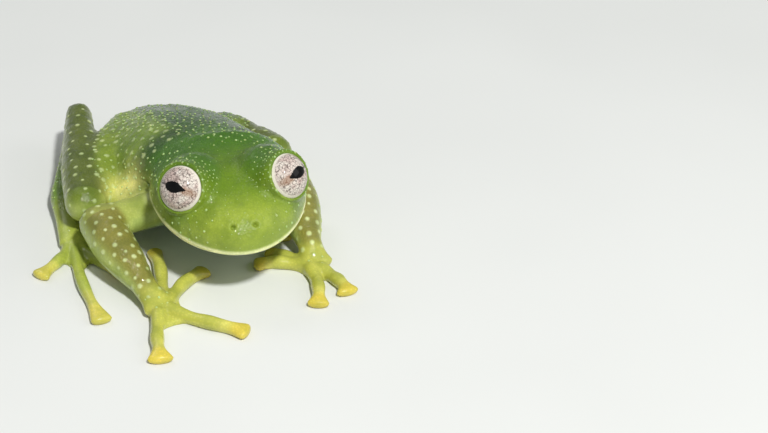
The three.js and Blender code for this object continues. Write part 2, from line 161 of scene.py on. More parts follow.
# Digits are root, tip, how far they bow to one side, and half the width of the pad.
POSE = {
    "right": {
        "shoulder": (-3.2, 0.5, 2.6),
        "elbow": (-8.5, -1.1, 2.8),
        "wrist": (-6.75, -6.3, 1.25),
        "palm": (-6.05, -8.0, 0.62),
        "fingers": [
            ((-5.7, -6.9), (-4.9, -1.4), 0.2, 0.55),
            ((-5.4, -7.6), (-2.4, -4.4), -0.3, 0.68),
            ((-5.5, -8.4), (-1.5, -11.7), 0.2, 0.78),
            ((-6.3, -8.8), (-7.2, -13.3), 0.15, 0.85),
        ],
        "hip": (-3.9, 11.2, 2.1),
        "thigh": (1.65, 1.9, 1.7),
        "knee": (-8.85, 1.75, 2.8),
        "heel": (-7.0, 13.1, 3.0),
        "ankle": (-9.7, 5.9, 0.9),
        "sole": (-9.8, 0.9, 0.52),
        "toes": [
            ((-9.3, 2.4), (-6.7, 1.0), 0.2, 0.5),
            ((-9.4, 1.6), (-6.6, -1.5), 0.2, 0.55),
            ((-9.6, 0.9), (-7.5, -3.3), 0.2, 0.62),
            ((-9.8, 0.7), (-9.8, -8.2), 0.35, 0.72),
            ((-10.0, 1.0), (-12.5, -2.2), -0.3, 0.7),
        ],
    },
    "left": {
        "shoulder": (2.2, 2.4, 2.8),
        "elbow": (5.05, 0.7, 2.7),
        "wrist": (4.8, -4.1, 1.2),
        "palm": (4.9, -5.4, 0.62),
        "fingers": [
            ((4.3, -5.0), (2.4, -3.3), -0.1, 0.55),
            ((4.2, -5.5), (1.3, -4.4), 0.2, 0.68),
            ((4.4, -6.1), (3.8, -9.8), -0.2, 0.75),
            ((5.1, -6.3), (6.0, -8.9), -0.15, 0.8),
        ],
        "hip": (2.8, 10.9, 1.75),
        "thigh": (1.3, 1.4, 1.05),
        "knee": (4.9, 5.2, 2.75),
        "heel": (3.2, 11.7, 1.0),
        "ankle": (6.2, 7.3, 0.72),
        "sole": (6.0, 3.9, 0.52),
        "toes": [
            ((5.8, 4.8), (3.6, 4.0), -0.1, 0.5),
            ((5.7, 4.3), (2.6, 2.3), -0.1, 0.55),
            ((5.8, 3.8), (2.4, 0.2), -0.15, 0.62),
            ((5.9, 3.6), (3.7, -1.5), -0.3, 0.72),
            ((6.2, 3.8), (5.5, 0.0), 0.2, 0.7),
        ],
    },
}
FINGER_WEBS = [(1, 2), (2, 3)]
TOE_WEBS = [(0, 1), (1, 2), (2, 3), (3, 4)]

# Relief of the skin: how far it stands out, or sinks in where that is negative, and how wide it is.
MOUTH_LINE = (-0.12, 0.07)
MOUTH_BELOW_LIP = 0.26
LIP_RIDGE = (0.05, 0.14)
LIP_RIDGE_RISE = 0.08
NOSTRIL_SWELL = (0.1, 0.5)
NOSTRIL_PIT = (-0.36, 0.14)
EARDRUM = (4.7, -0.9, 0.1)
EARDRUM_RADIUS = 0.55
EARDRUM_RIDGE = (0.035, 0.12)
EAR_FOLD = [(4.55, -2.6, 0.9), (4.8, -1.2, 0.95), (5.0, 0.4, 0.2), (5.0, 1.6, -1.2)]
EAR_FOLD_RIDGE = (0.1, 0.24)
FLANK_FOLDS = 4
FLANK_FOLD_X = 4.8
FLANK_FOLD_Y = 3.4
FLANK_FOLD_SPACING = 1.5
FLANK_FOLD_TOP = 4.8
FLANK_FOLD_DROP = 0.3
# How far out and back the foot of a fold lies from its top, and its height.
FLANK_FOLD_FOOT = (0.1, 0.9, 1.5)
FLANK_FOLD_RIDGE = (0.06, 0.28)
HIP_BONE = [(1.5, 9.0, 4.7), (1.0, 12.6, 3.2)]
HIP_BONE_DRIFT = (1.3, 1.5)
HIP_RIDGE = (0.1, 0.5)
PEBBLE_WAVES = 7
PEBBLE_HEIGHT = 0.0035
SPOT_HEIGHT = 0.035
SPOT_PALENESS = 0.75

# Kinds of granule: share of points that may bear one, spacing, least and greatest radius, paleness.
GRANULES = {
    "dorsal": (1, 0.52, 0.055, 0.1, 0.85),
    "scattered": (0.5, 0.8, 0.05, 0.09, 0.6),
    "fine": (0.4, 0.6, 0.025, 0.045, 0.45),
    "cheek": (0.6, 0.62, 0.055, 0.095, 0.85),
    "brow": (1, 0.3, 0.04, 0.07, 0.75),
}
# From a cell of space to itself and its neighbours.
CELL_STEPS = list(itertools.product((-1, 0, 1), repeat=3))
GRANULE_SIDES = 8
GRANULE_RING_ANGLES = [-20, 10, 45, 75]
GRANULE_RISE = 0.55

# The camera: how far it stands from the neck, its angles, and where the neck falls in the photo.
CAMERA_DISTANCE = 150
CAMERA_AZIMUTH = -14
CAMERA_ELEVATION = 30
FOCAL_PIXELS = 2295
PHOTO_WIDTH = 768
PHOTO_HEIGHT = 433
NECK_PIXEL = (222.35, 162.5)
SENSOR_WIDTH = 36

# The stage, in metres
FLOOR_HALF_SIZE = 0.6
FLOOR_COLOUR = np.array([0.78, 0.79, 0.76])
SKY_COLOUR = (0.92, 0.95, 0.97, 1)
SKY_STRENGTH = 0.26
# Each light: its place, power and size.
LIGHTS = {
    "key": ((0.03, -0.2, 0.28), 1.05, 0.03),
    "fill": ((0.24, -0.1, 0.16), 0.12, 0.16),
    "back": ((-0.1, 0.2, 0.26), 0.1, 0.12),
}
LIGHT_TARGET = (0, 0, 0.003)


# Frames of reference

def turn(axis, degrees):
    return np.array(Matrix.Rotation(math.radians(degrees), 3, axis))


HEAD_TURN = turn("Z", HEAD_YAW) @ turn("X", -HEAD_PITCH) @ turn("Y", HEAD_ROLL)


def of_head(points):
    return NECK + np.asarray(points, float) @ HEAD_TURN.T


def to_head(points):
    return (points - NECK) @ HEAD_TURN


def on_side(side, place):
    # The place as given, on the frog's left, or its mirror image.
    return np.array([side, 1, 1]) * place


def eye_centre(side):
    return of_head(on_side(side, EYE_CENTRE))


def direction(azimuth, height):
    # Turned from -Y towards +X by the first angle, and raised by the second.
    azimuth, height = math.radians(azimuth), math.radians(height)
    flat = math.cos(height)
    return np.array([math.sin(azimuth) * flat, -math.cos(azimuth) * flat, math.sin(height)])


def eye_axis(side):
    return HEAD_TURN @ direction(side * EYE_AZIMUTH, EYE_TILT)


def row_shift():
    low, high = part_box("eye_left")
    middle = (np.array(low) + np.array(high)) / 2
    return middle - eye_centre(1) / 1000


SHIFT = row_shift()


def to_row(points):
    return np.asarray(points, float) / 1000 + SHIFT


# Lofts

def around(count):
    return np.arange(count) / count * 2 * np.pi


def power(value, exponent):
    return np.sign(value) * np.abs(value) ** exponent


def smooth(low, high, value):
    t = np.clip((value - low) / (high - low), 0, 1)
    return t * t * (3 - 2 * t)


def loft(rings):
    sides = len(rings[0])
    points = np.concatenate(rings + [[rings[0].mean(0)], [rings[-1].mean(0)]])
    faces = []
    for i in range(len(rings) - 1):
        for j in range(sides):
            a = i * sides + j
            b = i * sides + (j + 1) % sides
            faces.append((a, b, b + sides, a + sides))
    last = (len(rings) - 1) * sides
    for j in range(sides):
        k = (j + 1) % sides
        faces.append((k, j, len(points) - 2))
        faces.append((last + j, last + k, len(points) - 1))
    return points, faces


def catmull(values, per_span):
    # A smooth curve through the values, with so many points between each two.
    values = np.asarray(values, float)
    ends = np.concatenate([[2 * values[0] - values[1]], values, [2 * values[-1] - values[-2]]])
    out = []
    for i in range(len(values) - 1):
        a, b, c, d = ends[i:i + 4]
        for k in range(per_span):
            t = k / per_span
            out.append(0.5 * (2 * b + (c - a) * t + (2 * a - 5 * b + 4 * c - d) * t ** 2
                              + (3 * b - a - 3 * c + d) * t ** 3))
    out.append(values[-1])
    return np.array(out)


def limb(stations, sides=28, per_span=8):
    # Each station is x, y, z, half width and half height. The ends are rounded.
    rows = catmull(stations, per_span)
    path = rows[:, :3]
    tangents = np.gradient(path, axis=0)
    tangents /= np.linalg.norm(tangents, axis=1)[:, None]
    angles = around(sides)
    rings = []

    def ring(i, shrink, push):
        tangent = tangents[i]
        side = np.cross(tangent, (0, 0, 1))
        side /= np.linalg.norm(side)
        up = np.cross(side, tangent)
        width, height = rows[i, 3:5]
        centre = path[i] + tangent * push * min(width, height)
        rings.append(centre + shrink * (np.outer(np.cos(angles), side) * width
                                        + np.outer(np.sin(angles), up) * height))

    caps = np.radians(CAP_ANGLES)
    for angle in caps:
        ring(0, math.cos(angle), -math.sin(angle))
    for i in range(len(rows)):
        ring(i, 1, 0)
    for angle in caps[::-1]:
        ring(len(rows) - 1, math.cos(angle), math.sin(angle))
    return loft(rings)


def ball(centre, radius, columns=40, rows=28):
    rings = []
    turns = around(columns)
    for polar in np.arange(1, rows) / rows * np.pi:
        flat = math.sin(polar) * radius
        height = np.full(columns, math.cos(polar) * radius)
        rings.append(centre + np.stack([flat * np.cos(turns), flat * np.sin(turns), height], 1))
    return loft(rings)


def body_section(angles, width, top, widest, bottom, roundness):
    # A rounded section that is widest at a height of its own. The result is x and z for each angle.
    rise = power(np.sin(angles), roundness[1])
    reach = np.where(rise > 0, top - widest, widest - bottom)
    return power(np.cos(angles), roundness[0]) * width, widest + rise * reach


def trunk_stations():
    # The given stations, and those that close the rump round the vent.
    _, width, back, belly, drift = TRUNK_STATIONS[-1]
    rows = [*TRUNK_STATIONS]
    for end, share in RUMP:
        high = VENT_HEIGHT + (back - VENT_HEIGHT) * share
        low = VENT_HEIGHT + (belly - VENT_HEIGHT) * share
        rows.append((end, width * share, high, low, drift))
    return rows


def drift_at(y):
    ats, _, _, _, drifts = zip(*TRUNK_STATIONS)
    return np.interp(np.asarray(y) / TRUNK_LENGTH, ats, drifts)


def trunk():
    angles = around(TRUNK_SIDES)
    rings = []
    for at, width, back, belly, drift in catmull(trunk_stations(), TRUNK_RINGS_PER_STATION):
        widest = belly + (back - belly) * TRUNK_WIDEST
        x, z = body_section(angles, width * TRUNK_HALF_WIDTH, back, widest, belly, TRUNK_ROUNDNESS)
        rings.append(np.stack([x - drift, np.full(TRUNK_SIDES, at * TRUNK_LENGTH), z], 1))
    return loft(rings)


def head_section(y):
    # The head's half width, top and bottom, behind the corners of the jaw and then along the snout.
    if y > JAW_Y:
        mix = (y - JAW_Y) / (NECK_Y - JAW_Y)
        width = HEAD_HALF_WIDTH + (NECK_HALF_WIDTH - HEAD_HALF_WIDTH) * mix * mix
        bottom = LIP_Z - CHIN_DROP - THROAT_DROP - THROAT_FALL * mix
        return width, LIP_Z + CROWN * (1 - CROWN_FALL * mix), bottom
    t = min((JAW_Y - y) / SNOUT_LENGTH, 1)
    width = HEAD_HALF_WIDTH * (1 - t ** SNOUT_OUTLINE) ** (1 / SNOUT_OUTLINE)
    top = LIP_Z + CROWN * (1 - t ** CROWN_CURVE) ** (1 / CROWN_CURVE)
    bottom = LIP_Z - CHIN_DROP * math.sqrt(1 - t ** CHIN_CURVE) - THROAT_DROP * (1 - t) ** THROAT_CURVE
    return width, top, bottom


def head():
    angles = around(HEAD_SIDES)
    shares = np.linspace(SNOUT_FIRST_RING, 0, SNOUT_RINGS)
    ys = [JAW_Y - SNOUT_LENGTH * math.sin(share * math.pi / 2) for share in shares]
    ys += list(np.linspace(JAW_Y, NECK_Y, NECK_RINGS)[1:])
    rings = []
    for y in ys:
        width, top, bottom = head_section(y)
        x, z = body_section(angles, width, top, LIP_Z, bottom, HEAD_ROUNDNESS)
        rings.append(of_head(np.stack([x, np.full(HEAD_SIDES, y), z], 1)))
    return loft(rings)


def eye_frame(side):
    # The eye's own level, upward and outward directions.
    axis = eye_axis(side)
    level = np.cross(HEAD_TURN[:, 2], axis)
    level /= np.linalg.norm(level)
    return level, np.cross(axis, level), axis


def lid(side):
    # A cup round the eye, pressed back onto the plane of its opening.
    points, faces = ball(eye_centre(side), LID_RADIUS)
    axis = eye_axis(side)
    over = np.maximum((points - eye_centre(side)) @ axis - LID_OPENING + LID_CUP_SET_BACK, 0)
    return points - over[:, None] * axis, faces


def lid_rim(side):
    # The rounded edge of the lids, a ring that hugs the eye.
    level, above, axis = eye_frame(side)
    middle = eye_centre(side) + axis * (LID_OPENING - LID_RIM_SET_BACK)
    reach = math.sqrt(EYE_RADIUS ** 2 - LID_OPENING ** 2) + LIP_OF_LID * LIP_REACH
    turns = around(LID_RIM_SIDES)
    rings = []
    for angle in np.linspace(0, 2 * np.pi, LID_RIM_RINGS):
        out = level * math.cos(angle) + above * math.sin(angle)
        thick = LIP_OF_LID * (1 + UPPER_LID_EXTRA * math.sin(angle))
        section = np.outer(np.cos(turns), out) + np.outer(np.sin(turns), axis)
        rings.append(middle + out * reach + section * thick)
    return loft(rings)


def brow(side):
    return ball(of_head(on_side(side, BROW_CENTRE)), BROW_RADIUS)


# Limbs

def segment(start, end, widths):
    # A straight, round limb part whose width changes evenly between the widths given.
    shares = np.linspace(0, 1, len(widths))[:, None]
    path = np.array(start) * (1 - shares) + np.array(end) * shares
    return limb([(*p, w, w) for p, w in zip(path, widths)])


def digit_path(digit):
    # Returns a function that gives the place at each share of the digit's length.
    root, tip, bow, _ = digit
    along = np.array(tip) - np.array(root)
    aside = np.array([along[1], -along[0]]) / np.linalg.norm(along)
    return lambda share: np.array(root) + along * share + aside * bow * math.sin(math.pi * share)


def digit_loft(digit, size):
    at = digit_path(digit)
    rows = []
    for share, key in DIGIT_STATIONS:
        rows.append((*at(share), size[key] - FLOOR_SINK, size[key], size[key]))
    rows.append((*at(1), size["pad_height"] - FLOOR_SINK, digit[3], size["pad_height"]))
    return limb(rows, sides=20, per_span=6)


def web(a, b, reach):
    # A thin sheet between two digits, with its free edge curved in towards the palm.
    corners = [np.array(a[0]), digit_path(a)(reach), digit_path(b)(reach), np.array(b[0])]
    dip = WEB_DIP[0] * (corners[1] + corners[2]) / 2 + WEB_DIP[1] * (corners[0] + corners[3]) / 2
    edge = []
    for t in np.linspace(0, 1, WEB_EDGE_POINTS):
        edge.append((1 - t) ** 2 * corners[1] + 2 * t * (1 - t) * dip + t * t * corners[2])
    outline = np.array([corners[0], *edge, corners[3]])
    count = len(outline)
    low = np.column_stack([outline, np.full(count, -FLOOR_SINK)])
    high = np.column_stack([outline, np.full(count, WEB_HEIGHT)])
    points = np.concatenate([low, high])
    faces = [tuple(range(count))[::-1], tuple(range(count, 2 * count))]
    for i in range(count):
        j = (i + 1) % count
        faces.append((i, j, j + count, i + count))
    return points, faces


def hand_or_foot(joint, middle, flat, width, taper, half_size):
    wide, low = taper
    return limb([(*joint, width, width), (*middle, width * wide, width * low), (*flat, *half_size)])


def digits_and_webs(digits, size, webs, reach):
    return [digit_loft(d, size) for d in digits] + [web(digits[i], digits[j], reach) for i, j in webs]


def arm(pose):
    shoulder, elbow, wrist = (np.array(pose[k]) for k in ("shoulder", "elbow", "wrist"))
    palm = np.array([*pose["palm"][:2], PALM[1] - FLOOR_SINK])
    a = ARM
    return [
        segment(shoulder, elbow, [a["shoulder"], a["upper"], a["upper"] * UPPER_ARM_SWELL, a["elbow"]]),
        segment(elbow, wrist, [a["elbow"], a["forearm"], a["forearm"] * FOREARM_TAPER, a["wrist"]]),
        hand_or_foot(wrist, palm * 0.6 + wrist * 0.4, palm, a["wrist"], HEEL_OF_HAND, PALM),
        *digits_and_webs(pose["fingers"], FINGER, FINGER_WEBS, FINGER_WEB_REACH),
    ]


def leg(pose):
    hip, knee, heel, ankle = (np.array(pose[k]) for k in ("hip", "knee", "heel", "ankle"))
    sole = np.array([*pose["sole"][:2], SOLE[1] - FLOOR_SINK])
    s = LEG
    return [
        segment(hip, knee, [*pose["thigh"], s["knee"]]),
        segment(knee, heel, [s["knee"], s["calf"], s["calf"] * CALF_TAPER, s["heel"]]),
        segment(heel, ankle, [s["heel"], s["tarsus"], s["tarsus"] * TARSUS_TAPER, s["tarsus"]]),
        hand_or_foot(ankle, (sole + ankle) / 2, sole, s["tarsus"], INSTEP, SOLE),
        *digits_and_webs(pose["toes"], TOE, TOE_WEBS, TOE_WEB_REACH),
    ]


# Mesh helpers

def mesh_of(name, points, faces):
    mesh = bpy.data.meshes.new(name)
    mesh.from_pydata(np.asarray(points).tolist(), [], faces)
    mesh.validate()
    return mesh


def placed(name, data):
    item = bpy.data.objects.new(name, data)
    bpy.context.scene.collection.objects.link(item)
    return item


def joined(pieces):
    points = []
    faces = []
    start = 0
    for piece_points, piece_faces in pieces:
        points.append(piece_points)
        faces += [tuple(i + start for i in face) for face in piece_faces]
        start += len(piece_points)
    return np.concatenate(points), faces


def remeshed(name, points, faces):
    source = placed(name, mesh_of(name, points, faces))
    modifier = source.modifiers.new("skin", "REMESH")
    modifier.mode = "VOXEL"
    modifier.voxel_size = VOXEL
    graph = bpy.context.evaluated_depsgraph_get()
    mesh = bpy.data.meshes.new_from_object(source.evaluated_get(graph))
    bpy.data.objects.remove(source)
    return mesh


def triples(items, key):
    flat = np.empty(len(items) * 3)
    items.foreach_get(key, flat)
    return flat.reshape(-1, 3)


def put_coordinates(mesh, points):
    mesh.vertices.foreach_set("co", np.ascontiguousarray(points, dtype=np.float32).ravel())
    mesh.update()


def normals_of(mesh):
    return triples(mesh.vertex_normals, "vector")


def relaxer(mesh):
    # Returns a function that moves each point towards the mean of its neighbours.
    edges = np.empty(len(mesh.edges) * 2, dtype=np.int64)
    mesh.edges.foreach_get("vertices", edges)
    a, b = edges.reshape(-1, 2).T
    count = len(mesh.vertices)
    degree = np.maximum(np.bincount(a, minlength=count) + np.bincount(b, minlength=count), 1)

    def step(values, amount):
        mean = np.empty_like(values)
        for k in range(values.shape[1]):
            column = values[:, k]
            total = np.bincount(a, column[b], count) + np.bincount(b, column[a], count)
            mean[:, k] = total / degree
        return values + (mean - values) * amount

    return step


# Distances to the landmarks

def segment_distance(points, start, end):
    start, end = np.asarray(start, float), np.asarray(end, float)
    along = end - start
    share = np.clip((points - start) @ along / (along @ along), 0, 1)
    return np.linalg.norm(points - start - share[:, None] * along, axis=1), share


def path_on_side(side, path, drifts):
    # The path on one side of the frog, drawn to the right where the trunk bends.
    return [on_side(side, place) - (drift, 0, 0) for place, drift in zip(path, drifts)]


def path_distance(points, path):
    return np.min([segment_distance(points, a, b)[0] for a, b in zip(path, path[1:])], axis=0)


# The skin

def skin_solid():
    pieces = [trunk(), segment(*FLANK, FLANK_WIDTHS), segment(*ARMPIT_FOLD, ARMPIT_WIDTHS), head()]
    for side in (-1, 1):
        pieces += [brow(side), lid(side), lid_rim(side)]
    for pose in POSE.values():
        pieces += arm(pose) + leg(pose)
    return joined(pieces)


def near_rim(points):
    # How near each point is to the rim of an eye's lids, from 0 to 1.
    near = np.zeros(len(points))
    for side in (-1, 1):
        offset = points - eye_centre(side)
        far = np.abs(np.linalg.norm(offset, axis=1) - EYE_RADIUS)
        ahead = offset @ eye_axis(side)
        near = np.maximum(near, (1 - smooth(0.3, 0.6, far)) * smooth(0.2, 0.45, ahead))
    return near


def fill_creases(mesh, points, amount, steps):
    # Moves points outward only, to where their neighbours stand, so that joints fill out like flesh.
    relax = relaxer(mesh)
    for step in range(steps):
        if step % STEPS_PER_NORMAL == 0:
            put_coordinates(mesh, points)
            normals = normals_of(mesh)
        outward = np.sum((relax(points, 0.5) - points) * normals, axis=1)
        points = points + normals * (np.maximum(outward, 0) * amount)[:, None]
    return points


def soften(mesh):
    # Rounds the creases where forms meet. The roots of the limbs get more of it than the digits and lids.
    relax = relaxer(mesh)
    scale = (FULL_VOXEL / VOXEL) ** 2
    points = triples(mesh.vertices, "co")
    for _ in range(VOXEL_ROUNDS):
        points = relax(points, SHRINK)
        points = relax(points, REGROW)
    bulk = 0.05 + 0.95 * smooth(0.9, 2.0, points[:, 2])
    rim = near_rim(points)
    points = fill_creases(mesh, points, bulk * (1 - rim), round(CREASE_ROUNDS * scale))
    h = to_head(points)
    lip = np.exp(-((h[:, 2] - LIP_Z) / 0.4) ** 2) * (h[:, 1] < 0.5)
    digits = 1 - smooth(0.7, 1.3, points[:, 2])
    amount = ((1 - near_rim(points)) * (1 - 0.8 * lip) * (1 - 0.85 * digits))[:, None]
    for _ in range(round(BLEND_ROUNDS * scale)):
        points = relax(points, 0.5 * amount)
    return points


def ridge(far, relief):
    height, width = relief
    return height * np.exp(-(far / width) ** 2)


def head_relief(points, normals):
    # How far each point of the head stands out of, or sinks into, its smooth form.
    h = to_head(points)
    front = smooth(1.2, 0.2, h[:, 1])
    wall = smooth(0.95, 0.6, np.abs(normals @ HEAD_TURN[:, 2]))
    inside_head = (np.abs(h[:, 0]) < 5.4) & (h[:, 2] > -3) & (points[:, 2] > 2.2)
    lift = ridge(h[:, 2] - (LIP_Z - MOUTH_BELOW_LIP), MOUTH_LINE) * front * wall
    lift += ridge(h[:, 2] - (LIP_Z + LIP_RIDGE_RISE), LIP_RIDGE) * front * wall
    for side in (-1, 1):
        far = np.linalg.norm(h - on_side(side, NOSTRIL), axis=1)
        lift += ridge(far, NOSTRIL_SWELL) + ridge(far, NOSTRIL_PIT)
        far = np.linalg.norm(h - on_side(side, EARDRUM), axis=1)
        lift += ridge(far - EARDRUM_RADIUS, EARDRUM_RIDGE)
        lift += ridge(path_distance(h, on_side(side, EAR_FOLD)), EAR_FOLD_RIDGE)
    return lift * inside_head


def body_relief(points):
    # Soft folds in the flank behind the arm, and the paired bumps of the hips under the skin of the back.
    lift = np.zeros(len(points))
    for side in (-1, 1):
        for k in range(FLANK_FOLDS):
            y = FLANK_FOLD_Y + FLANK_FOLD_SPACING * k
            x = side * FLANK_FOLD_X - drift_at(y)
            out, back, height = FLANK_FOLD_FOOT
            fold = [(x, y, FLANK_FOLD_TOP - FLANK_FOLD_DROP * k), (x + side * out, y + back, height)]
            lift += ridge(path_distance(points, fold), FLANK_FOLD_RIDGE)
        hip = path_on_side(side, HIP_BONE, HIP_BONE_DRIFT)
        lift += ridge(path_distance(points, hip), HIP_RIDGE)
    return lift


def pebbles(points, strength):
    # Uneven, shallow grains from crossed waves.
    waves = np.zeros(len(points))
    for k in range(PEBBLE_WAVES):
        heading = rng.normal(size=3)
        heading /= np.linalg.norm(heading)
        waves += np.sin(points @ heading * (2 * np.pi / (0.5 + 0.09 * k)) + rng.uniform(0, 6.28))
    return PEBBLE_HEIGHT * waves * strength


# Paint

SRGB = {
    "back": "#43700e",
    "back_dark": "#2d560c",
    "head": "#678519",
    "snout": "#98a93c",
    "flank": "#8fa236",
    "axilla": "#f6ee92",
    "belly": "#a3c39c",
    "viscera": "#dfe3c4",
    "side": "#76902a",
    # Painted shadow in the fold between the head and the body behind each eye.
    "fold": "#24480e",
    "thigh": "#7c912c",
    "upper_arm": "#a9b35c",
    "forearm": "#85823c",
    "limb_edge": "#b6c46c",
    "shank": "#5d6a24",
    "shank_edge": "#8d9a45",
    "tarsus": "#7a9a35",
    "hand": "#bdbe57",
    "finger": "#d3ce68",
    "toe": "#aeb954",
    "pad": "#d9bd38",
    "lip": "#fafac4",
    "granule_back": "#c4dc90",
    "granule_limb": "#d3dfa6",
    "brow": "#3d6b1a",
    "iris": "#ded5c9",
    "iris_shade": "#c9b5ab",
    "iris_net": "#3f2d28",
    "iris_edge": "#e9e2d4",
    "iris_outer": "#8a5c34",
    "iris_streak": "#2a1d18",
    "pupil": "#050404",
}


def linear(code):
    parts = [int(code[i:i + 2], 16) / 255 for i in (1, 3, 5)]
    return np.array([c / 12.92 if c <= 0.04045 else ((c + 0.055) / 1.055) ** 2.4 for c in parts])


COLOUR = {name: linear(code) for name, code in SRGB.items()}


def mixed(base, top, share):
    return base + (top - base) * np.clip(share, 0, 1)[:, None]


# Each limb part: its ends, its reach, the colours of its upper side and edges, and how slowly it blends in.
LIMB_PAINT = [
    ("hip", "knee", 1.9, "thigh", "limb_edge", 0.5),
    ("heel", "ankle", 0.9, "tarsus", "shank_edge", 0.01),
    ("knee", "heel", 1.45, "shank", "shank_edge", 0.01),
    ("shoulder", "elbow", 1.25, "upper_arm", "limb_edge", 0.55),
    ("elbow", "wrist", 1.5, "forearm", "limb_edge", 0.01),
]
# The bare yellow skin behind each arm: its middle, its reach, and how much taller it is than wide.
AXILLAE = [((-6.1, 2.1, 3.7), 1.15), ((4.2, 2.6, 3.6), 0.7)]
AXILLA_STRETCH = (1.0, 1.0, 1.3)
# The painted shadow in the fold behind each eye, along its path on the frog's left side, and how far the
# neck draws both to the right.
NECK_FOLD_SHADOW_PATH = [(2.2, 3.0, 6.4), (4.3, 2.1, 5.3), (5.1, 1.3, 4.2)]
NECK_FOLD_SHADOW_DRIFT = (0.4, 0.3, 0.3)
NECK_FOLD_SHADE = (0.9, 0.95)
# From the middle of a brow to the middle of its dark patch.
BROW_SHADE_SHIFT = (0, -0.2, 1.3)
GOLD_OF_FINGERS = 0.6
GOLD_OF_TOES = 0.3
# The see-through patch of the belly: half width, middle and half length.
BELLY_PATCH = (3.4, 7.5, 4.8)


def paint_limb(colour, points, up, ends, radius, top, edge, fade_in):
    # A limb is darkest along its upper side and paler at its edges.
    far, share = segment_distance(points, *ends)
    belongs = (1 - smooth(radius, radius + 0.4, far)) * smooth(0, fade_in, share + 0.005)
    shade = mixed(np.tile(COLOUR[edge], (len(points), 1)), COLOUR[top], smooth(0.05, 0.8, up))
    return mixed(colour, shade, belongs)


def paint_digits(colour, points, digits, palm, wrist, plain, gold):
    # Hands and feet are yellower towards the pads. The share of each point that they hold is returned too.
    far, share = segment_distance(points, wrist, palm)
    held = (1 - smooth(1.3, 1.8, far)) * smooth(-0.05, 0.7, share) * (far < 2)
    pads = np.zeros(len(points))
    for root, tip, _, _ in digits:
        far, share = segment_distance(points, (*root, 0.4), (*tip, 0.3))
        held = np.maximum(held, 1 - smooth(0.85, 1.3, far))
        pads = np.maximum(pads, (1 - smooth(0.8, 1.3, far)) * smooth(0.55, 1.0, share))
    low = 1 - smooth(1.5, 2.2, points[:, 2])
    held = held * low
    colour = mixed(colour, COLOUR[plain], held)
    colour = mixed(colour, COLOUR["finger"], held * smooth(0.05, 0.45, pads))
    colour = mixed(colour, COLOUR["pad"], held * smooth(0.5, 1.0, pads) * gold)
    return colour, held


def paint_head(colour, points):
    # Olive between the eyes, yellow-green at the snout, dark over the brows, and a pale line along the lip.
    h = to_head(points)
    on_head = smooth(1.6, -1.0, h[:, 1]) * smooth(5.6, 5.3, np.abs(h[:, 0])) * (points[:, 2] > 2.4)
    colour = mixed(colour, COLOUR["head"], on_head * smooth(0.6, -3.6, h[:, 1]))
    colour = mixed(colour, COLOUR["snout"], on_head * smooth(-4.8, -7.8, h[:, 1]) * 0.9)
    cheek = on_head * smooth(0.4, -0.7, h[:, 2]) * smooth(3.0, 4.4, np.hypot(h[:, 0], h[:, 1] - JAW_Y))
    colour = mixed(colour, COLOUR["flank"], cheek * 0.5)
    for side in (-1, 1):
        middle = of_head(on_side(side, BROW_CENTRE) + BROW_SHADE_SHIFT)
        far = np.linalg.norm(points - middle, axis=1)
        colour = mixed(colour, COLOUR["brow"], (1 - smooth(0.9, 2.1, far)) * 0.75)
    lip = smooth(LIP_Z + 0.3, LIP_Z + 0.08, h[:, 2]) * smooth(LIP_Z - 0.95, LIP_Z - 0.5, h[:, 2])
    outer = smooth(3.4, 4.2, np.hypot(h[:, 0], (h[:, 1] - JAW_Y) * HEAD_HALF_WIDTH / SNOUT_LENGTH))
    return mixed(colour, COLOUR["lip"], lip * outer * on_head * smooth(0.6, -0.4, h[:, 1]))


def pale_side(points):
    # The dark band of the back gives way to a paler side on the right, where the bend stretches the skin.
    across = points[:, 0] + drift_at(points[:, 1])
    return smooth(-0.9, -2.3, across) * smooth(1.8, 3.4, points[:, 1])


def paint(points, normals):
    # The colour of each point, and how rough with fine grain it is.
    up = normals[:, 2]
    count = len(points)
    colour = np.tile(COLOUR["back"], (count, 1))
    dark = smooth(1.5, 5.0, points[:, 1]) * smooth(0.3, 0.85, up)
    colour = mixed(colour, COLOUR["back_dark"], dark)
    colour = mixed(colour, COLOUR["side"], pale_side(points))
    colour = mixed(colour, COLOUR["flank"], smooth(0.5, 0.0, up))
    colour = mixed(colour, COLOUR["belly"], smooth(-0.15, -0.6, up))
    half_width, middle, half_length = BELLY_PATCH
    across = points[:, 0] + drift_at(points[:, 1])
    belly = np.hypot(across / half_width, (points[:, 1] - middle) / half_length)
    colour = mixed(colour, COLOUR["viscera"], smooth(1.1, 0.7, belly) * smooth(-0.4, -0.7, up))
    colour = paint_head(colour, points)
    # Painted shadow: a dark green band along the fold behind each eye, where the head meets the body.
    for side in (-1, 1):
        fold = path_on_side(side, NECK_FOLD_SHADOW_PATH, NECK_FOLD_SHADOW_DRIFT)
        colour = mixed(colour, COLOUR["fold"], ridge(path_distance(points, fold), NECK_FOLD_SHADE))
    for pose in POSE.values():
        for start, end, radius, top, edge, fade_in in LIMB_PAINT:
            ends = (pose[start], pose[end])
            colour = paint_limb(colour, points, up, ends, radius, top, edge, fade_in)
    for middle, reach in AXILLAE:
        offset = (points - np.array(middle)) / AXILLA_STRETCH
        colour = mixed(colour, COLOUR["axilla"], ridge(np.linalg.norm(offset, axis=1), (1, reach)))
    digits = np.zeros(count)
    for pose in POSE.values():
        hand = (pose["fingers"], pose["palm"], pose["wrist"], "hand", GOLD_OF_FINGERS)
        foot = (pose["toes"], pose["sole"], pose["ankle"], "toe", GOLD_OF_TOES)
        for parts in (hand, foot):
            colour, held = paint_digits(colour, points, *parts)
            digits = np.maximum(digits, held)
    grain = np.clip(1 - digits, 0.12, 1) * smooth(-0.4, 0.3, up)
    return colour, grain


def add_attribute(mesh, name, kind, values):
    attribute = mesh.attributes.new(name, kind, "POINT")
    key = "color" if kind == "FLOAT_COLOR" else "value"
    attribute.data.foreach_set(key, np.ascontiguousarray(values, dtype=np.float32).ravel())


